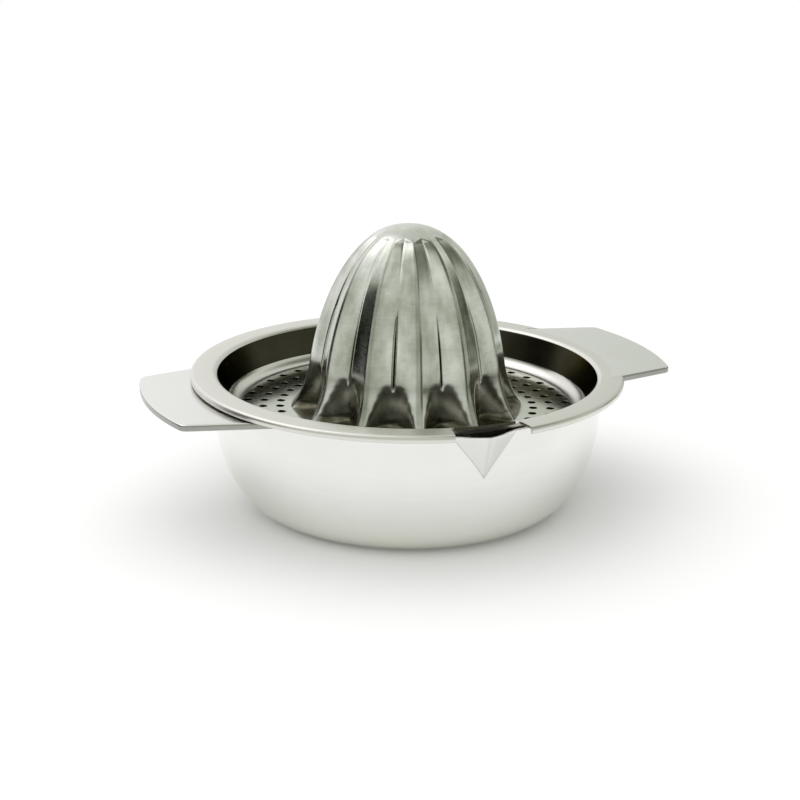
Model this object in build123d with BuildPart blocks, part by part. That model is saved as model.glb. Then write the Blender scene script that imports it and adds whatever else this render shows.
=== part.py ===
from build123d import *
from math import asin, cos, degrees, pi, radians, sin, sqrt, tan
import os

# Manual citrus juicer pressed from steel sheet. A perforated strainer with a ribbed reamer in its middle hangs
# by its tapered wall in the edge of a bowl, and lifts off. Millimetres, +Z up, origin at the middle of the base.
# The strainer's handle points along +X, the bowl's along -X, and the pouring spout along -Y.

# Sheet and fits
sheet = 0.8                     # thickness of every pressing
seat_clearance = 0.3            # between the strainer's wall and the bowl's edge

# Bowl
bowl_radius = 62.3              # outside of the straight wall
bowl_height = 41.7              # from the base to the edge
bowl_straight = 7.0             # straight wall under the edge
bowl_base_radius = 43.3         # flat base

# Pouring spout pressed out of the bowl's wall
spout_half_width = 10.5         # from the middle to a side crease, at the edge
spout_reach = 4.4               # out from the wall, at the edge
spout_depth = 14.2              # from the edge down to its point
spout_nose = 5.0                # radius of its nose in plan

# Strainer
flange_overhang = 7.3           # flange's edge outside the bowl's wall
flange_rise = 1.9               # flange's underside over the bowl's edge
flange_bend = 2.0               # radius where the flange turns down into the wall
lip_height = 2.2                # turned-down outer edge, from the flange's top
lip_bend = 1.2
wall_taper = 20.0               # degrees from upright
strainer_depth = 12.3           # from the flange's top to the floor
floor_bend = 4.5
notch_margin = 1.6              # the notch is wider than the spout by this much on each side
notch_land = 0.8                # from the wall's corner to the notch
notch_corner = 2.0

# Drain holes in rings on the strainer's floor
hole_diameter = 2.7
hole_margin = 3.6               # from the reamer's foot to the middle of the first ring
hole_edge = 0.2                 # plain floor outside the last ring
ring_pitch = 5.5
holes_per_ring = 44

# Reamer
reamer_radius = 32.4
reamer_height = 59.2            # from the strainer's floor to the top
reamer_foot_bend = 5.0          # flare from the reamer's side into the floor
reamer_belly = 1.66             # a larger exponent keeps the side upright for longer
reamer_crown = 2.25             # a larger exponent makes the top blunter
rib_count = 12
groove_depth = 2.6              # between two ribs, at the reamer's full radius
ridge_land = 2.2                # degrees of plain surface left along each rib
groove_start = 13.0             # from the floor to the lower end of a groove
groove_fade = 6.0               # height over which a groove runs out at either end
cap_radius = 9.6                # plain cap above the grooves

# Handles
handle_reach = 16.0             # tip outside the flange
handle_tip_half_width = 26.3
handle_taper = 12.9             # degrees on each side
handle_corner = 3.0
handle_edge = 2.0               # turned-down edge, from the top
handle_bend = 0.6
handle_seam = 4.0               # the strainer's handle joins the flange this far inside its edge

# Levels and radii that follow
bowl_inside = bowl_radius - sheet
curve_top = bowl_height - bowl_straight
spout_point = bowl_height - spout_depth
flange_radius = bowl_radius + flange_overhang
flange_top = bowl_height + flange_rise + sheet
floor_top = flange_top - strainer_depth
taper = tan(radians(wall_taper))
wall_at_edge = bowl_inside - seat_clearance - sheet / cos(radians(wall_taper))
wall_corner = wall_at_edge + (flange_top - bowl_height) * taper
floor_corner = wall_corner - strainer_depth * taper
floor_flat = floor_corner - floor_bend * tan(radians(90 - wall_taper) / 2)
foot_radius = reamer_radius + reamer_foot_bend
handle_tip = flange_radius + handle_reach
handle_root = flange_radius - handle_seam
notch_half_angle = degrees(asin((spout_half_width + notch_margin) / flange_radius))
first_ring = foot_radius + hole_margin
last_ring = floor_flat - hole_edge - hole_diameter / 2
ring_count = int((last_ring - first_ring) / ring_pitch) + 1
overcut = 2.0                   # cuts run past the faces they open


def bowl_side(height, inset):
    """Radius of the bowl's wall at this height, inside its outer face by inset."""
    drop = max(0, curve_top - height) / (curve_top - inset)
    return bowl_base_radius + (bowl_radius - inset - bowl_base_radius) * sqrt(1 - drop**2)


def bowl_section(inset):
    """Half of the bowl's upright section, filled to the axis, inside its outer face by inset."""
    top = bowl_height + (overcut if inset else 0)
    with BuildSketch(Plane.XZ) as section:
        with BuildLine():
            curve = EllipticalCenterArc((bowl_base_radius, curve_top), bowl_radius - inset - bowl_base_radius,
                                        curve_top - inset, start_angle=270, arc_size=90)
            Polyline(curve @ 1, (bowl_radius - inset, top), (0, top), (0, inset), curve @ 0)
        make_face()
    return section.sketch


def spout_plan(wall_radius):
    """Rounded V that the spout makes at the bowl's edge, outside a wall of this radius."""
    crease_y = -sqrt(wall_radius**2 - spout_half_width**2)
    with BuildSketch(Plane.XY.offset(bowl_height)) as plan:
        with BuildLine():
            Polyline((-spout_half_width, crease_y), (0, -wall_radius - spout_reach), (spout_half_width, crease_y),
                     close=True)
        make_face()
        fillet(plan.vertices().sort_by(Axis.Y)[0], spout_nose)
    return plan.sketch


def notch_plan():
    """Gap in the strainer's flange over the spout."""
    root_radius = wall_corner + notch_land
    start = -90 - notch_half_angle
    with BuildSketch() as plan:
        with BuildLine():
            root = CenterArc((0, 0), root_radius, start, 2 * notch_half_angle)
            rim = CenterArc((0, 0), flange_radius + overcut, start, 2 * notch_half_angle)
            Line(root @ 0, rim @ 0)
            Line(root @ 1, rim @ 1)
        make_face()
        fillet(plan.vertices().sort_by_distance((0, 0, 0))[:2], notch_corner)
    return plan.sketch


def reamer_side(height, inset):
    """Radius of the reamer over its ribs at this height above the floor, inside its outer face by inset."""
    rise = (height - reamer_foot_bend) / (reamer_height - inset - reamer_foot_bend)
    return (reamer_radius - inset) * max(0, 1 - rise**reamer_belly) ** (1 / reamer_crown)


def reamer_level(radius):
    """Height above the floor at which the reamer's outer face has this radius."""
    rise = (1 - (radius / reamer_radius) ** reamer_crown) ** (1 / reamer_belly)
    return reamer_foot_bend + rise * (reamer_height - reamer_foot_bend)


def reamer_section(inset):
    """Half of the reamer's upright section, filled to the axis, inside its outer face by inset."""
    steps = 9
    top = reamer_height - inset
    side = []
    for step in range(steps):
        height = reamer_foot_bend + (top - reamer_foot_bend) * sin(step / steps * pi / 2)
        side.append((reamer_side(height, inset), floor_top + height))
    side.append((0, floor_top + top))
    bottom = floor_top - sheet - (overcut if inset else 0)
    with BuildSketch(Plane.XZ) as section:
        with BuildLine():
            foot = CenterArc((foot_radius, floor_top + reamer_foot_bend), reamer_foot_bend + inset, 180, 90)
            Spline(*side, tangents=[(0, 1), (-1, 0)])
            Polyline(foot @ 1, (foot_radius, bottom), (0, bottom), side[-1])
        make_face()
    return section.sketch


def groove(inset):
    """Open V between two ribs, on the +X side, that follows the reamer's side and runs out at both ends."""
    levels = 8
    half_angle = radians(180 / rib_count - ridge_land / 2)
    depth = groove_depth / reamer_radius
    flank = Vector(cos(half_angle) - 1 + depth, sin(half_angle))
    past = 1.3                  # each section runs out past the ribs by this factor
    high = reamer_level(cap_radius)
    sections = []
    for level in range(levels + 1):
        share = (1 - cos(level / levels * pi)) / 2
        height = groove_start + (high - groove_start) * share
        fade = min(1, (height - groove_start) / groove_fade, (high - height) / groove_fade)
        radius = reamer_side(height, inset)
        valley = radius * (1 - depth * fade)
        side = flank * radius * past
        outside = valley + side.X + 2 * depth * radius
        with BuildSketch(Plane.XY.offset(floor_top + height)) as section:
            with BuildLine():
                Polyline((valley, 0), (valley + side.X, side.Y), (outside, side.Y), (outside, -side.Y),
                         (valley + side.X, -side.Y), close=True)
            make_face()
        sections.append(section.sketch)
    with BuildPart() as cutter:
        loft(sections)
    return cutter.part


def handle_plan(root_radius, inset):
    """Plan of a handle that points along +X, outside a round of root_radius and inside its own edge by inset."""
    tip_x = sqrt(handle_tip**2 - handle_tip_half_width**2)
    root_y = handle_tip_half_width + tip_x * tan(radians(handle_taper))
    with BuildSketch() as plan:
        with BuildLine():
            tip = ThreePointArc((tip_x, -handle_tip_half_width), (handle_tip, 0), (tip_x, handle_tip_half_width))
            Polyline(tip @ 1, (0, root_y), (0, -root_y), tip @ 0)
        make_face()
        fillet(plan.vertices().sort_by(Axis.X)[-2:], handle_corner)
        if inset:
            offset(amount=-inset)
        Circle(root_radius, mode=Mode.SUBTRACT)
    return plan.sketch


def handle_shell(root_radius):
    """Handle along +X with its top at zero: a plate with its edge turned down, open at the root."""
    with BuildPart() as shell:
        with BuildSketch():
            add(handle_plan(root_radius, 0))
        extrude(amount=-handle_edge)
        with BuildSketch(Plane.XY.offset(-sheet)):
            add(handle_plan(root_radius, sheet))
        extrude(amount=-handle_edge, mode=Mode.SUBTRACT)
        rim = shell.faces().sort_by(Axis.Z)[-1].edges().sort_by_distance((0, 0, 0))
        fillet(rim[1:], handle_bend)
    return shell.part


os.makedirs("parts", exist_ok=True)

with BuildPart() as bowl:
    revolve(bowl_section(0), axis=Axis.Z)
    loft([spout_plan(bowl_radius), Vertex(0, -bowl_side(spout_point, 0), spout_point)])
    revolve(bowl_section(sheet), axis=Axis.Z, mode=Mode.SUBTRACT)
    loft([spout_plan(bowl_inside), Vertex(0, -bowl_side(spout_point, sheet), spout_point)],
         mode=Mode.SUBTRACT)
bowl.part.label = "bowl"
export_step(bowl.part, "parts/bowl.step")

with BuildPart() as bowl_handle:
    with Locations(Location((0, 0, bowl_height), (0, 0, 180))):
        add(handle_shell(bowl_radius))
bowl_handle.part.label = "bowl_handle"
export_step(bowl_handle.part, "parts/bowl_handle.step")

with BuildPart() as strainer:
    with BuildSketch(Plane.XZ):
        with BuildLine():
            FilletPolyline((flange_radius, flange_top - lip_height), (flange_radius, flange_top),
                           (wall_corner, flange_top), (floor_corner, floor_top), (foot_radius, floor_top),
                           radius=[lip_bend, flange_bend, floor_bend])
            offset(amount=sheet, side=Side.LEFT)
        make_face()
    revolve(axis=Axis.Z)
    with BuildSketch(Plane.XY.offset(flange_top)):
        add(notch_plan())
        add(handle_plan(handle_root, 0))
    extrude(amount=-lip_height - overcut, mode=Mode.SUBTRACT)
    with BuildSketch(Plane.XY.offset(floor_top)):
        for ring in range(ring_count):
            with PolarLocations(first_ring + ring * ring_pitch, holes_per_ring):
                Circle(hole_diameter / 2)
    extrude(amount=-sheet, mode=Mode.SUBTRACT)
strainer.part.label = "strainer"
export_step(strainer.part, "parts/strainer.step")

with BuildPart() as strainer_handle:
    with Locations((0, 0, flange_top)):
        add(handle_shell(handle_root))
strainer_handle.part.label = "strainer_handle"
export_step(strainer_handle.part, "parts/strainer_handle.step")

with BuildPart() as reamer_hollow:
    revolve(reamer_section(sheet), axis=Axis.Z)
    with PolarLocations(0, rib_count):
        add(groove(sheet), mode=Mode.SUBTRACT)

with BuildPart() as reamer:
    revolve(reamer_section(0), axis=Axis.Z)
    with PolarLocations(0, rib_count):
        add(groove(0), mode=Mode.SUBTRACT)
    add(reamer_hollow.part, mode=Mode.SUBTRACT)
reamer.part.label = "reamer"
export_step(reamer.part, "parts/reamer.step")
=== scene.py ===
"""Looks of a hand citrus juicer pressed from steel sheet."""
from math import asin, atan2, cos, pi, radians, sin, sqrt, tan

import bmesh
import bpy
from mathutils import Matrix, Vector


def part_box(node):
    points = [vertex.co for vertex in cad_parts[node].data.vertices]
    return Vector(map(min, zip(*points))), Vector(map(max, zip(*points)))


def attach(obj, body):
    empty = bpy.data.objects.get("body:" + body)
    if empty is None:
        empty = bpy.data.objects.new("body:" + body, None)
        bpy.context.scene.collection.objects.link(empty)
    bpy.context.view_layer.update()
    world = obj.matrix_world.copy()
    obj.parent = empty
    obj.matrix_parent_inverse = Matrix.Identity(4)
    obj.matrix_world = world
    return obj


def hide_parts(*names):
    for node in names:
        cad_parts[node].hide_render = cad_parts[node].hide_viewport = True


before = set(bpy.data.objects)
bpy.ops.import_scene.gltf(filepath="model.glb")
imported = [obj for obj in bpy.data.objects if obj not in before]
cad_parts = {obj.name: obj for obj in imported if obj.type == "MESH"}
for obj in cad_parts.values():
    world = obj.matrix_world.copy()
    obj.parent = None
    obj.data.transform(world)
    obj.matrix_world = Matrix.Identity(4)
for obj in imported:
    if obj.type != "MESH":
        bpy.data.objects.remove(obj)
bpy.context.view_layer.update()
scene = bpy.context.scene

mm = 0.001

# Sheet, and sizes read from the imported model
sheet = 0.8 * mm
bowl_low, bowl_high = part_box("bowl")
strainer_low, strainer_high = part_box("strainer")
reamer_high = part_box("reamer")[1]
bowl_radius = bowl_high.x
bowl_height = bowl_high.z
spout_tip = -bowl_low.y
flange_radius = strainer_high.y
flange_top = strainer_high.z
floor_top = strainer_low.z + sheet
foot_radius = reamer_high.x
reamer_height = reamer_high.z - floor_top
handle_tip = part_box("strainer_handle")[1].x
front = -pi / 2                     # angle of the spout's middle

# Meshes
weld = 0.002 * mm                   # points nearer than this become one
edge_steps = 6                      # facets round a sheet's edge
sheet_crease = radians(35)          # edges that turn more than this stay sharp
reamer_crease = radians(60)

# Bowl
bowl_straight = 7.0 * mm
bowl_base_radius = 43.3 * mm
curve_top = bowl_height - bowl_straight
spout_half_width = 10.5 * mm
spout_point = bowl_height - 14.2 * mm
spout_nose = 3.0 * mm               # rounds the spout's lip, and less and less the ridge under it
spout_crease = 0.08 * mm            # softens the creases at its sides
spout_sector = pi / 8               # angle from its middle past which the wall is plain
spout_margin = 1.0 * mm             # height under its point below which the wall is plain
plain_wall = -1.0 * mm              # reading of spout_over on plain wall

# Strainer
seat_clearance = 0.3 * mm
flange_bend = 2.0 * mm
lip_height = 2.2 * mm
lip_bend = 1.2 * mm
wall_taper = radians(20)
floor_bend = 4.5 * mm
notch_margin = 1.6 * mm
notch_land = 0.8 * mm
notch_corner = 2.0 * mm
cutter_margin = 1.0 * mm            # how far the cutters reach past the flange and its lip
wall_corner = (bowl_radius - sheet - seat_clearance - sheet / cos(wall_taper)
               + (flange_top - bowl_height) * tan(wall_taper))
floor_corner = wall_corner - (flange_top - floor_top) * tan(wall_taper)
floor_flat = floor_corner - floor_bend * tan((pi / 2 - wall_taper) / 2)
plate_edge = floor_flat - 0.1 * mm  # where the perforated plate meets the turned part

# Drain holes
hole_radius = 1.35 * mm
hole_lead = 0.05 * mm               # rounding of a hole's edges
hole_sides = 20
first_ring = foot_radius + 3.6 * mm
ring_pitch = 5.5 * mm
ring_count = 3
holes_per_ring = 44

# Reamer
foot_bend = 5.0 * mm
reamer_radius = foot_radius - foot_bend
reamer_belly = 1.66
reamer_crown = 2.25
rib_count = 12
rib_steps = 24
reamer_rows = 150
groove_depth = 2.6 * mm
ridge_land = radians(2.2)
groove_tip = 12.6 * mm              # height where a groove's crease ends
groove_end = 56.9 * mm              # height of the plain cap's edge
groove_run_out = 1.2 * mm
slit_depth = 0.7 * mm               # narrow crease at the bottom of a groove
slit_width = 1.1 * mm
slit_rise = 2.0 * mm                # height over which it starts, from the groove's tip
slit_thin_from = 24.0 * mm          # between these two heights it thins out
slit_thin_to = 40.0 * mm
flute_top = 17.6 * mm               # under the grooves the ribs part into rounded flutes
flute_depth = 3.4 * mm
flute_bend = 2.6 * mm               # height of the flutes' turn into the foot
flute_clearance = 4.0 * mm          # keeps the flutes off the ribs above their top
flute_fade = 1.0 * mm               # height over which that sets in
ridge_flare = 14.0 * mm             # height of the ridges' flare into the foot
edge_ease = 0.12 * mm               # rounds the edges of grooves and flutes
edge_ease_radius = 8.0 * mm         # where the cone is narrower than this, it rounds them less

# Handles
handle_half_width = 26.3 * mm
handle_taper = radians(12.9)
handle_corner = 3.0 * mm
handle_edge = 2.0 * mm
handle_bend = 0.6 * mm
handle_seam = 4.0 * mm

# Camera, as fitted to the picture
picture_px = 800
focal_px = 1725
sensor_width = 36
camera_azimuth = radians(-21.5)
camera_elevation = radians(17.5)
camera_roll = radians(0.8)
camera_distance = 560 * mm
camera_aim_right = -2.2 * mm
camera_aim_height = flange_top - 11.0 * mm


class Wire:
    """An output in a node graph. Arithmetic on it adds Math nodes."""

    def __init__(self, graph, socket):
        self.graph = graph
        self.socket = socket

    def out(self, name):
        """Another output of the same node."""
        return Wire(self.graph, self.socket.node.outputs[name])

    def __add__(self, other):
        return self.graph.math("ADD", self, other)

    def __radd__(self, other):
        return self.graph.math("ADD", other, self)

    def __sub__(self, other):
        return self.graph.math("SUBTRACT", self, other)

    def __rsub__(self, other):
        return self.graph.math("SUBTRACT", other, self)

    def __mul__(self, other):
        return self.graph.math("MULTIPLY", self, other)

    def __rmul__(self, other):
        return self.graph.math("MULTIPLY", other, self)

    def __truediv__(self, other):
        return self.graph.math("DIVIDE", self, other)

    def __rtruediv__(self, other):
        return self.graph.math("DIVIDE", other, self)

    def __pow__(self, other):
        return self.graph.math("POWER", self, other)


class Graph:
    """A node tree being drawn up."""

    def __init__(self, tree):
        self.tree = tree
        tree.nodes.clear()

    def node(self, kind, settings=None, inputs=None):
        """Adds a node: its settings, then its sockets' values or wires. Returns its first output."""
        made = self.tree.nodes.new(kind)
        for name, value in (settings or {}).items():
            setattr(made, name, value)
        for key, value in (inputs or {}).items():
            self.feed(made.inputs[key], value)
        return Wire(self, made.outputs[0]) if made.outputs else made

    def feed(self, socket, value):
        """Links a wire, or several, to a socket, or sets the socket's own value."""
        if isinstance(value, (list, tuple)) and isinstance(value[0], Wire):
            for wire in value:
                self.tree.links.new(wire.socket, socket)
        elif isinstance(value, Wire):
            self.tree.links.new(value.socket, socket)
        else:
            socket.default_value = value

    def math(self, operation, *values):
        return self.node("ShaderNodeMath", {"operation": operation}, dict(enumerate(values)))

    def clamp(self, value):
        """The value held between 0 and 1."""
        return self.math("MINIMUM", self.math("MAXIMUM", value, 0.0), 1.0)

    def step(self, value, low, high):
        """Smooth rise from 0 to 1 as the value goes from low to high."""
        return self.node("ShaderNodeMapRange", {"interpolation_type": "SMOOTHSTEP"},
                         {"Value": value, "From Min": low, "From Max": high})

    def mix(self, factor, first, second):
        """Colour between two colours."""
        made = self.node("ShaderNodeMix", {"data_type": "RGBA"}, {0: factor, 6: first, 7: second})
        return Wire(self, made.socket.node.outputs[2])

    def vector(self, x, y, z):
        return self.node("ShaderNodeCombineXYZ", inputs={0: x, 1: y, 2: z})

    def polar(self, radius, angle, height):
        """Place at a radius and an angle round the axis, and at a height."""
        return self.vector(radius * self.math("COSINE", angle), radius * self.math("SINE", angle), height)

    def split(self, place):
        """The x, y and z of a place."""
        made = self.node("ShaderNodeSeparateXYZ", inputs={0: place})
        return [made.out(axis) for axis in "XYZ"]

    def unit_grid(self, columns, rows):
        """Grid from -0.5 to 0.5 both ways, with the x and y of its points."""
        grid = self.node("GeometryNodeMeshGrid", inputs={"Size X": 1.0, "Size Y": 1.0,
                                                         "Vertices X": columns, "Vertices Y": rows})
        x, y, _ = self.split(self.node("GeometryNodeInputPosition"))
        return grid, x, y

    def mark(self, name):
        """A mark that the mesh carries at its points."""
        return self.node("ShaderNodeAttribute", {"attribute_name": name}).out("Fac")


def placed(name, data):
    """New object in the scene."""
    thing = bpy.data.objects.new(name, data)
    scene.collection.objects.link(thing)
    return thing


def as_mesh(name, form):
    """Mesh of a form, which is used up."""
    mesh = bpy.data.meshes.new(name)
    form.to_mesh(mesh)
    form.free()
    return mesh


def lay(form, mesh):
    """Adds a mesh to a form and removes the mesh."""
    form.from_mesh(mesh)
    bpy.data.meshes.remove(mesh)


def shade(mesh, crease):
    """Smooth shading, with edges kept sharp past the crease angle."""
    mesh.shade_smooth()
    mesh.set_sharp_from_angle(angle=crease)


def finished(name, form, material, crease):
    """Smooth object of a form, with edges kept sharp past the crease angle."""
    mesh = as_mesh(name, form)
    mesh.materials.append(material)
    shade(mesh, crease)
    return placed(name, mesh)


def evaluated_mesh(piece):
    """Plain mesh of a piece as its modifiers leave it."""
    depsgraph = bpy.context.evaluated_depsgraph_get()
    return bpy.data.meshes.new_from_object(piece.evaluated_get(depsgraph), depsgraph=depsgraph)


def applied(piece):
    """Makes the piece's modifiers part of its mesh."""
    mesh = evaluated_mesh(piece)
    piece.modifiers.clear()
    piece.data = mesh


def new_tree(name, sizes):
    """Graph of a geometry tree with a named input for each size, and the way to look an input up."""
    tree = bpy.data.node_groups.new(name, "GeometryNodeTree")
    kinds = {float: "NodeSocketFloat", int: "NodeSocketInt", bpy.types.Material: "NodeSocketMaterial"}
    for size, value in sizes.items():
        tree.interface.new_socket(size, in_out="INPUT", socket_type=kinds[type(value)])
    tree.interface.new_socket("Geometry", in_out="OUTPUT", socket_type="NodeSocketGeometry")
    graph = Graph(tree)
    return graph, graph.node("NodeGroupInput").out


def close_tree(graph, shape, finish):
    """Ends a geometry tree: the shape is welded, made plain and coated."""
    welded = graph.node("GeometryNodeMergeByDistance", inputs={"Geometry": shape, "Distance": weld})
    plain = graph.node("GeometryNodeRealizeInstances", inputs={"Geometry": welded})
    coated = graph.node("GeometryNodeSetMaterial", inputs={"Geometry": plain, "Material": finish})
    graph.node("NodeGroupOutput", inputs={"Geometry": coated})


def grown(name, tree, sizes):
    """Plain mesh that a geometry tree makes from these sizes."""
    carrier = placed(name, bpy.data.meshes.new(name))
    modifier = carrier.modifiers.new(name, "NODES")
    modifier.node_group = tree
    for item in tree.interface.items_tree:
        if item.in_out == "INPUT":
            modifier[item.identifier] = sizes[item.name]
    mesh = evaluated_mesh(carrier)
    bpy.data.objects.remove(carrier)
    return mesh


def skin(rings, capped=False):
    """Faces over rings of points. A ring of one point closes an end."""
    form = bmesh.new()
    made = [[form.verts.new(point) for point in ring] for ring in rings]
    for low, high in zip(made, made[1:]):
        count = max(len(low), len(high))
        for here in range(count):
            there = (here + 1) % count
            corners = [low[here % len(low)], low[there % len(low)],
                       high[there % len(high)], high[here % len(high)]]
            form.faces.new(dict.fromkeys(corners))
    if capped:
        form.faces.new(made[0])
        form.faces.new(made[-1])
    bmesh.ops.recalc_face_normals(form, faces=form.faces)
    return form


def ring_at(angles, radius, height):
    return [Vector((radius * cos(angle), radius * sin(angle), height)) for angle in angles]


def steep(face):
    """Whether a face stands more than 60 degrees from level."""
    return abs(face.normal.z) < 0.5


# Bowl

def bowl_side(height, inset):
    """Radius of the bowl's wall at this height, inside its outer face by inset."""
    drop = max(0, curve_top - height) / (curve_top - inset)
    return bowl_base_radius + (bowl_radius - inset - bowl_base_radius) * sqrt(max(0, 1 - drop**2))


def spout_over(angle, height):
    """How far the spout's faces lie outside the bowl's wall, at an angle from the spout's middle."""
    if abs(angle) > spout_sector or height < spout_point - spout_margin:
        return plain_wall
    rise = (height - spout_point) / (bowl_height - spout_point)
    root = bowl_side(spout_point, 0)
    nose = root + rise * (spout_tip - root)
    soft = spout_nose * max(0, rise)
    slope = ((spout_tip - sqrt(bowl_radius**2 - spout_half_width**2))
             / (sqrt(spout_half_width**2 + soft**2) - soft))
    share = soft / bowl_radius
    side = sqrt(sin(angle)**2 + share**2) - share
    return max(plain_wall, nose / (cos(angle) + slope * side) - bowl_side(height, 0))


def spout_swell(angle, height):
    """How far the spout pushes the bowl's wall outwards, at an angle from the spout's middle."""
    over = spout_over(angle, height)
    if over < -spout_crease:
        return 0
    if over > spout_crease:
        return over
    return (over + spout_crease)**2 / (4 * spout_crease)


def bowl_profile(inset):
    """Points (radius, height) from the middle of the bowl's base up its wall to just under the edge."""
    curve_steps = 22
    wall_step = 0.65 * mm
    base_ring = 0.6 * bowl_base_radius
    spout_rows = spout_point - 2 * spout_margin     # from here up the rows are closer
    edge = bowl_height - sheet / 2
    points = [(0, inset), (base_ring, inset)]
    for step in range(curve_steps):
        turn = step / curve_steps * pi / 2
        height = curve_top - (curve_top - inset) * cos(turn)
        if height < spout_rows:
            points.append((bowl_side(height, inset), height))
    height = spout_rows
    while height < edge - wall_step / 2:
        points.append((bowl_side(height, inset), height))
        height += wall_step
    points.append((bowl_side(edge, inset), edge))
    return points


def bowl_angles():
    """Angles round the bowl, closer together over the spout."""
    fine = radians(0.5)
    coarse = radians(2)
    spout_span = radians(14)
    rest = 2 * pi - 2 * spout_span
    fine_count = int(2 * spout_span / fine)
    coarse_count = int(rest / coarse)
    angles = [front - spout_span + fine * step for step in range(fine_count)]
    return angles + [front + spout_span + rest * step / coarse_count for step in range(coarse_count)]


def make_bowl(material):
    """Drawn shell with a rounded edge and a pouring spout pressed out of its wall at the front."""
    angles = bowl_angles()
    middle = bowl_radius - sheet / 2
    edge = []
    for step in range(1, edge_steps):
        turn = pi * step / edge_steps
        edge.append((middle + cos(turn) * sheet / 2, bowl_height - sheet / 2 + sin(turn) * sheet / 2))
    rings = []
    for radius, height in bowl_profile(0) + edge + bowl_profile(sheet)[::-1]:
        if radius == 0:
            rings.append([Vector((0, 0, height))])
            continue
        ring = []
        for angle in angles:
            reach = radius + spout_swell(angle - front, height)
            ring.append(Vector((reach * cos(angle), reach * sin(angle), height)))
        rings.append(ring)
    piece = finished("polished_bowl", skin(rings), material, sheet_crease)
    mark = piece.data.attributes.new("spout", "FLOAT", "POINT")
    for vertex, value in zip(piece.data.vertices, mark.data):
        place = vertex.co
        value.value = spout_over(atan2(place.x, -place.y), place.z) / mm
    return piece


# Handles

def tab_outline(root, inset):
    """Edge of a handle along +X, inside its plan by inset, out round its tip and back along its root."""
    corner_steps = 8
    tip_steps = 24
    root_steps = 30
    tip_x = sqrt(handle_tip**2 - handle_half_width**2)
    across = Vector((sin(handle_taper), cos(handle_taper)))
    along = Vector((cos(handle_taper), -sin(handle_taper)))
    reach = tip_x * across.x + handle_half_width * across.y
    corner_off = reach - handle_corner
    corner = across * corner_off + along * sqrt((handle_tip - handle_corner)**2 - corner_off**2)
    start = pi / 2 - handle_taper
    stop = atan2(corner.y, corner.x)
    side_off = reach - inset
    side = across * side_off + along * sqrt(root**2 - side_off**2)
    half = [side]
    for step in range(corner_steps + 1):
        turn = start + (stop - start) * step / corner_steps
        half.append(corner + Vector((cos(turn), sin(turn))) * (handle_corner - inset))
    for step in range(1, tip_steps // 2):
        turn = stop * (1 - 2 * step / tip_steps)
        half.append(Vector((cos(turn), sin(turn))) * (handle_tip - inset))
    mirrored = [Vector((point.x, -point.y)) for point in half[::-1]]
    root_half = atan2(side.y, side.x)
    back = []
    for step in range(1, root_steps):
        turn = -root_half * (1 - 2 * step / root_steps)
        back.append(Vector((cos(turn), sin(turn))) * root)
    return half + [Vector((handle_tip - inset, 0))] + mirrored + back


def make_tab(name, root, top, turn, material, edge_shade_material):
    """Flat sheet tab with its edge turned down, joined at its root to a round wall."""
    bend_steps = 5
    lip_end = 0.15 * mm
    levels = []
    for step in range(bend_steps + 1):
        angle = pi / 2 * step / bend_steps
        levels.append((handle_bend * (1 - sin(angle)), -handle_bend * (1 - cos(angle)), 0))
    levels += [(0, lip_end - handle_edge, 0),
               (lip_end, -handle_edge, 0),
               (sheet - lip_end, -handle_edge, sheet),
               (sheet, lip_end - handle_edge, sheet),
               (sheet, -sheet, sheet)]
    spin = Matrix.Rotation(turn, 3, "Z")
    rings = []
    for inset, height, gap in levels:
        outline = tab_outline(root + gap, inset)
        rings.append([spin @ Vector((point.x, point.y, top + height)) for point in outline])
    piece = finished(name, skin(rings, capped=True), material, sheet_crease)
    piece.data.materials.append(edge_shade_material)
    for face in piece.data.polygons:
        # steep faces of the turned edge take the painted-shade material
        face.material_index = int(steep(face))
    return piece


# Strainer

def bent_path(points, radii, steps):
    """Path through points with rounded corners: pairs of a place and the outward direction there."""
    path = []
    ways = [(after - before).normalized() for before, after in zip(points, points[1:])]
    path.append((points[0], Vector((ways[0].y, -ways[0].x))))
    for corner, way_in, way_out, radius in zip(points[1:], ways, ways[1:], radii):
        turn = atan2(way_in.x * way_out.y - way_in.y * way_out.x, way_in.dot(way_out))
        out_in = Vector((way_in.y, -way_in.x))
        hand = 1 if turn > 0 else -1
        centre = corner - way_in * radius * tan(abs(turn) / 2) - out_in * radius * hand
        for step in range(steps + 1):
            here = Matrix.Rotation(turn * step / steps, 2) @ out_in
            path.append((centre + here * radius * hand, here))
    path.append((points[-1], Vector((ways[-1].y, -ways[-1].x))))
    return path


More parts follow.
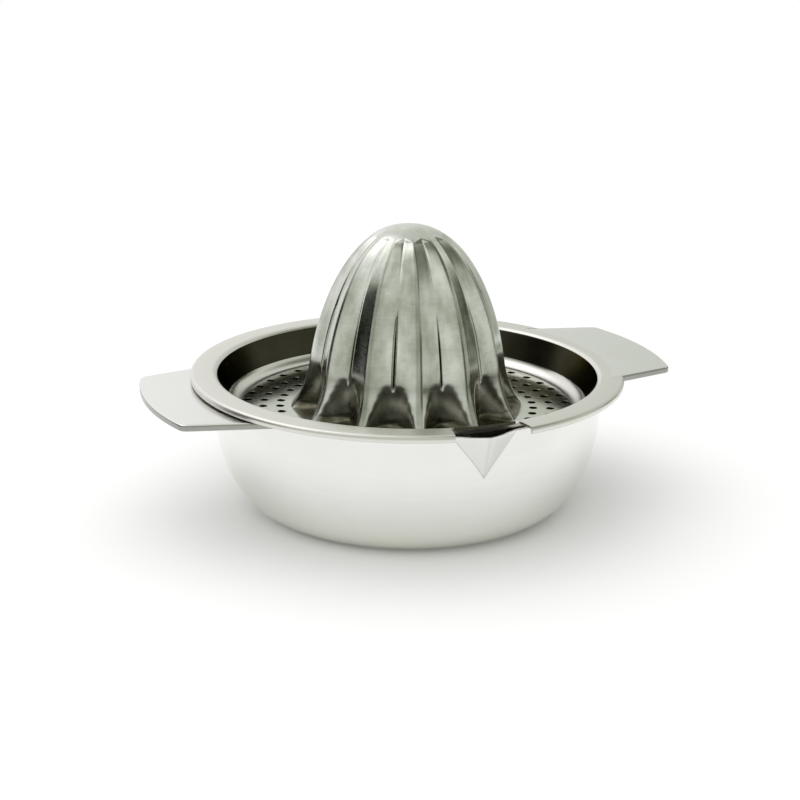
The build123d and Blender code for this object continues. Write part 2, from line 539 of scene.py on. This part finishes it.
def floor_tree(sizes):
    """Geometry tree of the strainer's floor: a round plate with rings of drain holes with eased edges."""
    graph, size = new_tree("drain_floor", sizes)
    hole = size("Hole Radius")
    lead = size("Hole Lead")
    thickness = size("Sheet")
    per_ring = size("Holes per Ring")

    index = graph.node("GeometryNodeInputIndex")
    ring = graph.math("FLOOR", (index + 0.5) / per_ring)
    reach = size("First Ring") + ring * size("Ring Pitch")
    middle = graph.polar(reach, index * (2 * pi) / per_ring, 0.0)
    hole_count = per_ring * size("Rings")
    middles = graph.node("GeometryNodePoints", inputs={"Count": hole_count, "Position": middle})

    def circle(sides, radius):
        return graph.node("GeometryNodeCurvePrimitiveCircle", {"mode": "RADIUS"},
                          {"Resolution": sides, "Radius": radius})

    def on_middles(shape):
        copies = graph.node("GeometryNodeInstanceOnPoints", inputs={"Points": middles, "Instance": shape})
        return graph.node("GeometryNodeRealizeInstances", inputs={"Geometry": copies})

    def raised(shape, height):
        return graph.node("GeometryNodeTransform",
                          inputs={"Geometry": shape, "Translation": graph.vector(0.0, 0.0, height)})

    # Plate and its underside, with the holes' mouths left open
    mouths = on_middles(circle(size("Hole Sides"), hole + lead))
    rim = circle(size("Sides"), size("Outer Radius"))
    inner_rim = circle(size("Sides"), size("Inner Radius"))
    outlines = graph.node("GeometryNodeJoinGeometry", inputs={"Geometry": [mouths, rim, inner_rim]})
    plate = graph.node("GeometryNodeFillCurve", {"mode": "TRIANGLES"}, {"Curve": outlines})
    under = raised(graph.node("GeometryNodeFlipFaces", inputs={"Mesh": plate}), 0.0 - thickness)

    # Wall of a hole: four rows of points, of which the first and the last lie at its mouths
    grid, column, row = graph.unit_grid(size("Hole Sides") + 1, 4)
    between_rows = 0.3
    at_mouth = graph.math("GREATER_THAN", graph.math("ABSOLUTE", row), between_rows)
    lower = graph.math("LESS_THAN", row, 0.0)
    depth = lower * thickness + (1 - at_mouth) * lead * (1 - 2 * lower)
    wall_place = graph.polar(hole + lead * at_mouth, column * (2 * pi) + pi, 0.0 - depth)
    wall = graph.node("GeometryNodeSetPosition", inputs={"Geometry": grid, "Position": wall_place})

    whole = graph.node("GeometryNodeJoinGeometry", inputs={"Geometry": [plate, under, on_middles(wall)]})
    close_tree(graph, raised(whole, size("Level")), size("Finish"))
    return graph.tree


def prism(name, outline, low, high):
    """Upright block over an outline, used to cut with."""
    rings = [[Vector((point.x, point.y, level)) for point in outline] for level in (low, high)]
    return placed(name, as_mesh(name, skin(rings, capped=True)))


def notch_outline():
    """Plan of the gap in the flange over the spout, with rounded inner corners."""
    corner_steps = 6
    root_steps = 12
    half = asin((spout_half_width + notch_margin) / flange_radius)
    root = wall_corner + notch_land
    past = flange_radius + 2 * cutter_margin
    middle_off = root + notch_corner
    side = Vector((sin(half), cos(half)))
    square = Vector((-cos(half), sin(half)))
    centre = square * notch_corner + side * sqrt(middle_off**2 - notch_corner**2)
    swing = atan2(centre.x, centre.y)
    points = [side * past]
    first = atan2(-square.y, -square.x)
    last = atan2(-centre.y, -centre.x)
    if last > first:
        last -= 2 * pi
    for step in range(corner_steps + 1):
        turn = first + (last - first) * step / corner_steps
        points.append(centre + Vector((cos(turn), sin(turn))) * notch_corner)
    for step in range(1, root_steps // 2):
        turn = swing * (1 - 2 * step / root_steps)
        points.append(Vector((sin(turn), cos(turn))) * root)
    mirrored = [Vector((-point.x, point.y)) for point in points[::-1]]
    whole = points + [Vector((0, root))] + mirrored
    return [Vector((point.x, -point.y)) for point in whole]


def strainer_form(material):
    """Dish with a lip, a flange, a tapered wall and a perforated floor, still without its cut-outs."""
    sides_per_hole = 6
    sides = holes_per_ring * sides_per_hole
    bend_steps = 10
    lip_low = flange_top - lip_height + sheet / 2
    corners = [Vector((flange_radius, lip_low)), Vector((flange_radius, flange_top)),
               Vector((wall_corner, flange_top)), Vector((floor_corner, floor_top)),
               Vector((plate_edge, floor_top))]
    path = bent_path(corners, [lip_bend, flange_bend, floor_bend], bend_steps)
    top = [place for place, _ in path]
    under = [place - out * sheet for place, out in path]
    edge_middle = (top[0] + under[0]) / 2
    edge = []
    for step in range(1, edge_steps):
        turn = pi * step / edge_steps
        edge.append(edge_middle + Vector((cos(turn), -sin(turn))) * sheet / 2)
    angles = [2 * pi * step / sides for step in range(sides)]
    form = skin([ring_at(angles, place.x, place.y) for place in top[::-1] + edge + under])

    sizes = {"Inner Radius": foot_radius, "Outer Radius": plate_edge, "Sides": sides,
             "Hole Radius": hole_radius, "Hole Lead": hole_lead, "Hole Sides": hole_sides,
             "First Ring": first_ring, "Ring Pitch": ring_pitch, "Rings": ring_count,
             "Holes per Ring": holes_per_ring, "Sheet": sheet, "Level": floor_top, "Finish": material}
    lay(form, grown("drain_floor", floor_tree(sizes), sizes))
    inner_edge = [ring_at(angles, foot_radius, level) for level in (floor_top, floor_top - sheet)]
    lay(form, as_mesh("inner_edge", skin(inner_edge)))
    bmesh.ops.remove_doubles(form, verts=form.verts, dist=2 * weld)
    bmesh.ops.recalc_face_normals(form, faces=form.faces)
    return form


def cut_flange(piece):
    """Cuts the notch over the spout and the handle's place out of the strainer's flange."""
    low = flange_top - lip_height - cutter_margin
    high = flange_top + cutter_margin
    cutters = [prism("notch", notch_outline(), low, high),
               prism("handle_slot", tab_outline(flange_radius - handle_seam, 0), low, high)]
    for cutter in cutters:
        cut = piece.modifiers.new(cutter.name, "BOOLEAN")
        cut.operation = "DIFFERENCE"
        cut.solver = "EXACT"
        cut.object = cutter
    applied(piece)
    for cutter in cutters:
        bpy.data.objects.remove(cutter)
    form = bmesh.new()
    form.from_mesh(piece.data)
    bmesh.ops.remove_doubles(form, verts=form.verts, dist=weld)
    bmesh.ops.dissolve_degenerate(form, edges=form.edges, dist=weld)
    form.to_mesh(piece.data)
    form.free()


def coat_strainer(mesh, material, wall_shade_material, plate_shade_material):
    """Gives the inner wall, the notch's root and the holes' walls a painted dark shade, and the plate a
    painted grey shade.
    """
    near_root = 0.4 * mm            # how close to the notch's root a face belongs to it
    dark_from = 1.15                # the wall's painted shade starts just above the floor's bend
    dark_to = 0.6                   # and ends in the lower part of the flange's bend
    bend_drop = 1 - sin(wall_taper)
    wall_low = floor_top + floor_bend * bend_drop * dark_from
    wall_high = flange_top - flange_bend * bend_drop * dark_to
    mesh.materials.clear()
    for finish in (material, wall_shade_material, plate_shade_material):
        mesh.materials.append(finish)
    dark = 1                        # places of the wall's and the plate's painted shade in that list
    plate_shade = 2
    for face in mesh.polygons:
        middle = face.center
        reach = middle.xy.length
        over_spout = abs(middle.x) < spout_half_width + notch_margin and middle.y < 0
        in_notch = over_spout and steep(face) and abs(reach - wall_corner - notch_land) < near_root
        faces_in = middle.xy.dot(face.normal.xy) < 0
        on_wall = faces_in and reach < wall_corner and wall_low < middle.z < wall_high
        # painted shade: the near-black material on the inner wall, the notch's root and the holes' walls,
        # and the plate's darker grey
        if reach < plate_edge:
            face.material_index = dark if steep(face) and reach > foot_radius else plate_shade
        elif in_notch or on_wall:
            face.material_index = dark


def make_strainer(material, wall_shade_material, plate_shade_material):
    """Dish with a perforated floor, and a flange notched over the spout and cut for the handle."""
    piece = finished("spun_strainer", strainer_form(material), material, sheet_crease)
    cut_flange(piece)
    coat_strainer(piece.data, material, wall_shade_material, plate_shade_material)
    shade(piece.data, sheet_crease)
    return piece


# Reamer

def reamer_tree(sizes):
    """Geometry tree of the reamer's skin: a cone with slit V grooves, over flutes and a flared foot."""
    column_slack = 0.0001           # keeps a column on a valley or ridge from rounding down
    column_ease = 0.1               # gathers the columns at valleys and ridges
    foot_share = 0.14               # share of the rows that lie in the foot
    slit_thinning = 0.85            # share of its depth that a slit loses on its way up
    flute_start = 0.8               # share of the groove's depth that a flute has at its top
    flute_width = 0.8               # share of the way to the ridges that it takes there
    flute_widening = 0.15           # and how much more it takes lower down
    flute_mark_low = -0.05 * mm     # depths under the flanks between which a flute's mark sets in
    flute_mark_high = 0.3 * mm
    ridge_mark = 0.9                # share of the way to the ridge where its mark sets in

    graph, size = new_tree("ribbed_reamer", sizes)
    ribs = size("Ribs")
    flare = size("Foot Bend")
    tip = size("Groove Tip")
    fluted = size("Flute Top")
    grid, column, row = graph.unit_grid(ribs * size("Steps per Rib") + 1, size("Steps Up"))

    # Angle of a column, and how far it lies from the nearest valley
    half_rib = pi / ribs
    around = (column + 0.5) * (2 * ribs)
    count = graph.math("FLOOR", around + column_slack)
    share = around - count
    eased = share - column_ease * graph.math("SINE", share * (2 * pi))
    angle = (count + eased) * half_rib
    off_valley = graph.math("PINGPONG", angle, half_rib)
    land = half_rib - size("Ridge Land") / 2
    across = graph.clamp(off_valley / land)

    # Height of a row, and the plain cone's radius there
    up = row + 0.5
    foot_turn = graph.clamp(up / foot_share) * (pi / 2)
    side_turn = graph.clamp((up - foot_share) / (1 - foot_share)) * (pi / 2)
    rise = graph.math("SINE", side_turn)
    cone = size("Radius") * (1 - rise ** size("Belly")) ** (1 / size("Crown"))
    height = flare - flare * graph.math("COSINE", foot_turn) + rise * (size("Height") - flare)

    # Ridges that flare into the foot
    below = graph.clamp(1 - height / size("Flute Bend"))
    turn = 1 - (1 - below * below) ** 0.5
    flared = graph.clamp(1 - height / size("Ridge Flare"))
    ridge = cone + flare * flared * flared

    # Flutes between them
    hollow = graph.clamp((fluted - height) / (fluted - tip))
    deepest = graph.clamp((tip - height) / (tip - size("Flute Bend")))
    flute_here = (size("Groove Depth") * (flute_start + (1 - flute_start) * hollow)
                  + (size("Flute Depth") - size("Groove Depth")) * deepest)
    bottom = cone - flute_here + (flare + flute_here) * turn
    spread = across / (flute_width + flute_widening * deepest)
    flute = ridge + (bottom - ridge) * (1 - spread * spread)
    flute = flute + size("Flute Clearance") * graph.step(height, fluted, fluted + size("Flute Fade"))

    # Flanks of the V grooves
    depth = size("Groove Depth") / size("Radius")
    flank_x = graph.math("COSINE", land) - 1 + depth
    flank_y = graph.math("SINE", land)
    fade = graph.clamp((size("Groove End") - height) / size("Groove Run-out"))
    valley = cone * (1 - depth * fade)
    slant = flank_y * graph.math("COSINE", off_valley) - flank_x * graph.math("SINE", off_valley)
    flank = valley * flank_y / slant
    flank = flank + ridge - cone
    flank = flank + (ridge - flank) * turn

    # Slits at the bottom of the grooves
    slit = graph.clamp(1 - off_valley * cone * 2 / size("Slit Width")) * fade
    slit = slit * graph.step(height, tip, tip + size("Slit Rise"))
    slit = slit * (1 - slit_thinning * graph.step(height, size("Slit Thin From"), size("Slit Thin To")))
    flank = flank - size("Slit Depth") * slit

    ease = size("Edge Ease") * graph.clamp(cone / size("Edge Ease Radius"))
    pressed = graph.math("SMOOTH_MIN", flank, flute, ease)
    radius = graph.math("SMOOTH_MIN", pressed, ridge, ease)
    marks = {"slit": slit,
             "flute": graph.step(flank - flute, flute_mark_low, flute_mark_high),
             "ridge": graph.step(across, ridge_mark, 1.0)}
    marked = grid
    for name, value in marks.items():
        marked = graph.node("GeometryNodeStoreNamedAttribute", {"data_type": "FLOAT", "domain": "POINT"},
                            {"Geometry": marked, "Name": name, "Value": value})
    spot = graph.polar(radius, angle, height + size("Level"))
    shaped = graph.node("GeometryNodeSetPosition", inputs={"Geometry": marked, "Position": spot})
    close_tree(graph, shaped, size("Finish"))
    return graph.tree


def make_reamer(material):
    """Hollow ribbed cone of sheet, open from below, flush at its foot with the strainer's floor."""
    sizes = {"Radius": reamer_radius, "Height": reamer_height, "Foot Bend": foot_bend,
             "Belly": reamer_belly, "Crown": reamer_crown, "Level": floor_top,
             "Ribs": rib_count, "Steps per Rib": rib_steps, "Steps Up": reamer_rows,
             "Groove Depth": groove_depth, "Groove Tip": groove_tip, "Groove End": groove_end,
             "Groove Run-out": groove_run_out, "Ridge Land": ridge_land, "Ridge Flare": ridge_flare,
             "Slit Depth": slit_depth, "Slit Width": slit_width, "Slit Rise": slit_rise,
             "Slit Thin From": slit_thin_from, "Slit Thin To": slit_thin_to,
             "Flute Top": flute_top, "Flute Depth": flute_depth, "Flute Bend": flute_bend,
             "Flute Clearance": flute_clearance, "Flute Fade": flute_fade,
             "Edge Ease": edge_ease, "Edge Ease Radius": edge_ease_radius, "Finish": material}
    form = bmesh.new()
    lay(form, grown("ribbed_reamer", reamer_tree(sizes), sizes))
    bmesh.ops.recalc_face_normals(form, faces=form.faces)
    piece = finished("ribbed_reamer", form, material, reamer_crease)
    wall = piece.modifiers.new("wall", "SOLIDIFY")
    wall.thickness = sheet
    wall.offset = -1
    applied(piece)
    shade(piece.data, reamer_crease)
    return piece


# Finishes

def steel(name):
    """New material with its graph, its metal shader and its object coordinates."""
    material = bpy.data.materials.new(name)
    material.use_nodes = True
    graph = Graph(material.node_tree)
    shader = graph.node("ShaderNodeBsdfPrincipled", inputs={"Metallic": 1.0})
    graph.node("ShaderNodeOutputMaterial", inputs={"Surface": shader})
    return material, graph, shader.socket.node, graph.node("ShaderNodeTexCoord").out("Object")


def coat(graph, shader, tint, roughness, relief=None, strength=0.0, depth=0.02 * mm):
    """Feeds a steel's colour and roughness, and its fine relief where it has one."""
    graph.feed(shader.inputs["Base Color"], tint)
    graph.feed(shader.inputs["Roughness"], roughness)
    if relief is not None:
        bump = graph.node("ShaderNodeBump",
                          inputs={"Strength": strength, "Distance": depth, "Height": relief})
        graph.feed(shader.inputs["Normal"], bump)


def noise(graph, where, scale, detail):
    """Noise about 0, from about -1 to 1."""
    cloud = graph.node("ShaderNodeTexNoise", inputs={"Vector": where, "Scale": scale, "Detail": detail})
    return cloud * 2 - 1


def spun_rings(graph, place, fineness, drag, detail):
    """Fine rings of a spinning tool: close together across, long around the axis."""
    x, y, z = graph.split(place)
    reach = (x * x + y * y) ** 0.5
    down_wall = 0.7                 # how much the height counts in the way across the rings
    where = graph.vector((reach + down_wall * z) * fineness, x / reach * drag, y / reach * drag)
    return noise(graph, where, scale=1.0, detail=detail)


def bowl_finish():
    """Mirror-polished sheet with faint spun rings and haze, with painted shade low down and along the
    spout's creases.
    """
    shaded = (0.79, 0.795, 0.765, 1)
    bright = (0.85, 0.85, 0.83, 1)
    low_painted_shade_tint = (0.74, 0.76, 0.66, 1)
    spout_shade_tint = (0.4, 0.4, 0.36, 1)
    material, graph, shader, place = steel("polished_sheet")
    x, _, z = graph.split(place)
    rings = spun_rings(graph, place, fineness=900.0, drag=1.5, detail=3.0)
    haze = noise(graph, place, scale=60.0, detail=4.0)
    tint = graph.mix(graph.clamp(0.5 + 0.5 * haze + 0.3 * rings), shaded, bright)
    # painted shade: the wall is tinted darker and greenish towards the bottom of the bowl
    low = 1 - graph.step(z, 2 * mm, 24 * mm)
    tint = graph.mix(0.7 * low, tint, low_painted_shade_tint)
    spout = graph.mark("spout")     # in millimetres outside the plain wall
    # painted shade on the spout: light over its pressed faces, stronger along its side creases and its
    # middle ridge
    pressed = graph.step(spout, 0.0, 0.1)
    crease = graph.step(spout, -0.08, 0.02) * (1 - graph.step(spout, 0.04, 0.3))
    middle = 1 - graph.step(graph.math("ABSOLUTE", x), 0.1 * mm, 0.8 * mm)
    spout_painted_shade = graph.clamp(0.12 * pressed + 0.42 * crease + 0.14 * middle * pressed)
    tint = graph.mix(spout_painted_shade, tint, spout_shade_tint)
    coat(graph, shader, tint, 0.09 + 0.02 * haze + 0.02 * rings, relief=rings, strength=0.12)
    return material


def strainer_finish():
    """Satin sheet with fine rings from spinning, more matt on the flange and its lip."""
    shaded = (0.70, 0.69, 0.64, 1)
    bright = (0.80, 0.79, 0.75, 1)
    material, graph, shader, place = steel("satin_sheet")
    _, _, z = graph.split(place)
    rings = spun_rings(graph, place, fineness=1400.0, drag=2.0, detail=4.0)
    haze = noise(graph, place, scale=90.0, detail=4.0)
    tint = graph.mix(graph.clamp(0.5 + 0.35 * rings + 0.3 * haze), shaded, bright)
    lip_end = flange_top - lip_height
    on_flange = graph.step(z, lip_end - 0.6 * mm, lip_end)
    roughness = 0.22 + 0.12 * on_flange + 0.04 * rings + 0.02 * haze
    coat(graph, shader, tint, roughness, relief=rings, strength=0.2)
    return material


def wall_painted_shade():
    """Painted dark shade of the spun inner wall, with fine rings."""
    # painted shade: the wall is coloured nearly black
    shaded = (0.032, 0.03, 0.019, 1)
    bright = (0.076, 0.072, 0.05, 1)
    glancing = (0.25, 0.24, 0.2, 1)
    material, graph, shader, place = steel("painted_shade_wall")
    rings = spun_rings(graph, place, fineness=1800.0, drag=2.0, detail=3.0)
    haze = noise(graph, place, scale=120.0, detail=4.0)
    tint = graph.mix(graph.clamp(0.5 + 0.15 * rings + 0.4 * haze), shaded, bright)
    coat(graph, shader, tint, 0.24 + 0.02 * rings + 0.03 * haze)
    graph.feed(shader.inputs["Specular Tint"], glancing)
    return material


def plate_finish_and_shade():
    """Perforated sheet, painted a darker grey than the rest of the strainer for shade, blotched, smooth
    enough to mirror the wall behind it.
    """
    shaded = (0.46, 0.48, 0.4, 1)
    bright = (0.66, 0.68, 0.6, 1)
    material, graph, shader, place = steel("plate_with_painted_shade")
    blotch = noise(graph, place, scale=160.0, detail=5.0)
    grit = noise(graph, place, scale=1500.0, detail=2.0)
    # painted shade: the plate is coloured darker grey than the strainer's other sheet; the blotches are
    # random tone
    tint = graph.mix(graph.clamp(0.5 + 0.6 * blotch), shaded, bright)
    roughness = 0.155 + 0.04 * blotch + 0.02 * grit
    coat(graph, shader, tint, roughness, relief=grit, strength=0.06, depth=0.03 * mm)
    return material


def tab_finish():
    """Satin sheet, finely brushed across the handle."""
    shaded = (0.76, 0.76, 0.73, 1)
    bright = (0.81, 0.81, 0.79, 1)
    material, graph, shader, place = steel("brushed_tab")
    x, y, z = graph.split(place)
    grain = noise(graph, graph.vector(x * 3000.0, y * 120.0, z * 900.0), scale=1.0, detail=3.0)
    haze = noise(graph, place, scale=70.0, detail=4.0)
    tint = graph.mix(graph.clamp(0.5 + 0.2 * grain + 0.3 * haze), shaded, bright)
    coat(graph, shader, tint, 0.2 + 0.03 * grain + 0.03 * haze, relief=grain, strength=0.04)
    return material


def tab_edge_shade():
    """Turned edge of a handle, with painted shade."""
    # painted shade: the turned edge is coloured much darker than the handle's top
    shaded = (0.3, 0.3, 0.275, 1)
    bright = (0.4, 0.4, 0.37, 1)
    material, graph, shader, place = steel("painted_shade_edge")
    haze = noise(graph, place, scale=150.0, detail=4.0)
    coat(graph, shader, graph.mix(graph.clamp(0.5 + 0.6 * haze), shaded, bright), 0.22 + 0.04 * haze)
    return material


def reamer_finish():
    """Pressed sheet with streaks and tones; its slits and flutes, and less so its ridges, are rougher and
    carry painted shade.
    """
    shaded = (0.42, 0.44, 0.37, 1)
    bright = (0.9, 0.91, 0.87, 1)
    recess_shade_tint = (0.1, 0.093, 0.058, 1)
    material, graph, shader, place = steel("ribbed_sheet")
    x, y, z = graph.split(place)
    reach = (x * x + y * y + 1e-8) ** 0.5
    cap_edge = floor_top + groove_end
    below_cap = 1 - graph.step(z, cap_edge - 1.5 * mm, cap_edge + 0.5 * mm)
    at_foot = 1 - graph.step(z, floor_top + 1.5 * mm, floor_top + 5 * mm)

    def wrapped(around, up):
        """Noise that runs round the cone, faded out on the cap."""
        where = graph.vector(x / reach * around, y / reach * around, z * up)
        return noise(graph, where, scale=1.0, detail=4.0) * below_cap

    streaks = wrapped(around=9.0, up=1400.0)
    tone = wrapped(around=5.0, up=70.0)
    haze = noise(graph, place, scale=180.0, detail=5.0)
    # painted shade in the slits and flutes, deeper near the foot, and a lighter painted dark line along
    # the ridges below the cap
    in_slit = graph.step(graph.mark("slit"), 0.1, 0.8)
    in_flute = (0.68 - 0.3 * haze + 0.3 * at_foot) * graph.mark("flute")
    dull_and_painted_shade = graph.clamp(in_slit + in_flute + 0.4 * (graph.mark("ridge") * below_cap))
    tint = graph.mix(graph.clamp(0.5 + 0.15 * streaks + 1.1 * tone + 0.5 * haze), shaded, bright)
    tint = graph.mix(dull_and_painted_shade, tint, recess_shade_tint)
    roughness = 0.16 + 0.03 * streaks + 0.06 * tone + 0.04 * haze + 0.1 * dull_and_painted_shade
    coat(graph, shader, tint, roughness, relief=streaks, strength=0.1)
    return material


# Studio

def make_floor():
    """White table with the object's shadow on it. Reflections see its front more evenly lit."""
    table_radius = 450 * mm
    table_sides = 96
    white = (1, 1, 1, 1)
    table_tint = (0.9, 0.9, 0.9, 1)
    glow_level = 0.08
    even_level = 0.95
    even_share = 0.35
    clear_radius = 1.35 * bowl_base_radius
    front_starts = (15 * mm, 65 * mm)   # distances towards the camera between which the front sets in
    form = bmesh.new()
    bmesh.ops.create_circle(form, cap_ends=True, segments=table_sides, radius=table_radius)
    mesh = as_mesh("floor", form)
    material = bpy.data.materials.new("white_table")
    material.use_nodes = True
    mesh.materials.append(material)
    graph = Graph(material.node_tree)
    path = graph.node("ShaderNodeLightPath")
    mirrored = path.out("Is Glossy Ray")
    seen = graph.clamp(path.out("Is Camera Ray") + mirrored + path.out("Is Transmission Ray"))
    glow = graph.node("ShaderNodeEmission", inputs={"Color": white, "Strength": glow_level * seen})
    matt = graph.node("ShaderNodeBsdfDiffuse", inputs={"Color": table_tint})
    both = graph.node("ShaderNodeAddShader", inputs={0: glow, 1: matt})
    even = graph.node("ShaderNodeEmission", inputs={"Color": white, "Strength": even_level})
    x, y, _ = graph.split(graph.node("ShaderNodeTexCoord").out("Object"))
    clear = graph.step((x * x + y * y) ** 0.5, bowl_base_radius, clear_radius)
    to_camera = x * sin(camera_azimuth) - y * cos(camera_azimuth)
    in_front = clear * graph.step(to_camera, *front_starts)
    table = graph.node("ShaderNodeMixShader",
                       inputs={0: even_share * mirrored * in_front, 1: both, 2: even})
    graph.node("ShaderNodeOutputMaterial", inputs={"Surface": table})
    floor = placed("floor", mesh)


def make_world():
    """Soft studio, brightest behind and to the upper left, with dark panels to the left and right.

    Bearings are in degrees to the right of straight behind the object, as the camera sees it, and heights
    in degrees above level.
    """
    left_panel = (-112.0, -70.0)
    right_panel = (44.0, 61.0)
    front_panel = (119.0, 148.0)
    bright_upper = (-110.0, -30.0)
    dim_upper = (55.0, 140.0)
    back_falls = (-14.0, 14.0)      # bearings between which the light behind falls off to the right
    front_starts = (65.0, 85.0)     # bearings, to either side, between which the light in front sets in
    upper_starts = (26.0, 44.0)     # heights between which the upper light sets in
    panel_top = (10.0, 24.0)        # heights between which a panel ends
    tall_panel_top = (18.0, 28.0)
    front_level = 0.64
    panel_shade = 0.98
    diffuse_cut = 0.7
    white = (1, 1, 1, 1)
    dark_tint = (0.9, 1.0, 0.75, 1)
    world = bpy.data.worlds.new("studio")
    world.use_nodes = True
    scene.world = world
    graph = Graph(world.node_tree)
    x, y, z = graph.split(graph.node("ShaderNodeTexCoord"))
    behind = y * cos(camera_azimuth) - x * sin(camera_azimuth)
    aside = x * cos(camera_azimuth) + y * sin(camera_azimuth)
    bearing = graph.math("ARCTAN2", aside, behind) * (180 / pi)
    height = graph.math("ARCSINE", z) * (180 / pi)

    def between(bearings, soft):
        """1 between two bearings, with soft edges."""
        left, right = bearings
        past_left = graph.step(bearing, left - soft, left + soft)
        return past_left * (1 - graph.step(bearing, right - soft, right + soft))

    back_level = 1.0 - 0.3 * graph.step(bearing, *back_falls)
    in_front = graph.step(graph.math("ABSOLUTE", bearing), *front_starts)
    around = back_level + (front_level - back_level) * in_front
    upper = 0.75 + 0.85 * between(bright_upper, soft=25.0) - 0.55 * between(dim_upper, soft=20.0)
    around = around + (upper - around) * graph.step(height, *upper_starts)
    low = 1 - graph.step(height, *panel_top)
    tall = 1 - graph.step(height, *tall_panel_top)
    panels = (between(left_panel, soft=5.0) * tall + 0.85 * between(right_panel, soft=4.0) * low
              + 0.8 * between(front_panel, soft=5.0) * low)
    level = around * (1 - panel_shade * graph.clamp(panels))
    tint = graph.mix(graph.clamp(level), dark_tint, white)
    path = graph.node("ShaderNodeLightPath")
    fill = 1 - diffuse_cut * path.out("Is Diffuse Ray")
    studio = graph.node("ShaderNodeBackground", inputs={"Color": tint, "Strength": level * fill})
    backdrop = graph.node("ShaderNodeBackground", inputs={"Color": white, "Strength": 1.0})
    seen = path.out("Is Camera Ray")
    both = graph.node("ShaderNodeMixShader", inputs={0: seen, 1: studio, 2: backdrop})
    graph.node("ShaderNodeOutputWorld", inputs={"Surface": both})


def make_key():
    """Very broad soft light from overhead, for the shadow on the table."""
    lamp = bpy.data.lights.new("key", "SUN")
    lamp.energy = 2.6
    lamp.angle = radians(110)
    key = placed("key", lamp)
    key.visible_glossy = False
    towards = Vector((-0.1, 0.05, 1.0)).normalized()
    key.rotation_euler = towards.to_track_quat("Z", "Y").to_euler()


def make_camera():
    """Camera at the picture's angle."""
    camera = bpy.data.cameras.new("camera")
    camera.sensor_width = sensor_width
    camera.lens = sensor_width * focal_px / picture_px
    camera.clip_start = 0.01
    camera.clip_end = 100
    eye = placed("camera", camera)
    level = cos(camera_elevation)
    back = Vector((sin(camera_azimuth) * level, -cos(camera_azimuth) * level, sin(camera_elevation)))
    right = Vector((cos(camera_azimuth), sin(camera_azimuth), 0))
    up = back.cross(right)
    aim = right * camera_aim_right + Vector((0, 0, camera_aim_height))
    turned_right = right * cos(camera_roll) + up * sin(camera_roll)
    turned_up = up * cos(camera_roll) - right * sin(camera_roll)
    turn = Matrix((turned_right, turned_up, back)).transposed().to_4x4()
    eye.matrix_world = Matrix.Translation(aim + back * camera_distance) @ turn
    scene.camera = eye


def place_piece(piece, body, node):
    """Puts a piece in its CAD node's stead, on that node's body."""
    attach(piece, body)
    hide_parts(node)


scene.view_settings.view_transform = "Standard"
tab_steels = tab_finish(), tab_edge_shade()
bowl = make_bowl(bowl_finish())
place_piece(bowl, "bowl_unit", "bowl")
bowl_tab = make_tab("bowl_tab", bowl_radius, bowl_height, pi, *tab_steels)
place_piece(bowl_tab, "bowl_unit", "bowl_handle")
strainer = make_strainer(strainer_finish(), wall_painted_shade(), plate_finish_and_shade())
place_piece(strainer, "strainer_unit", "strainer")
strainer_tab = make_tab("strainer_tab", flange_radius - handle_seam, flange_top, 0, *tab_steels)
place_piece(strainer_tab, "strainer_unit", "strainer_handle")
reamer = make_reamer(reamer_finish())
place_piece(reamer, "strainer_unit", "reamer")
make_floor()
make_world()
make_key()
make_camera()
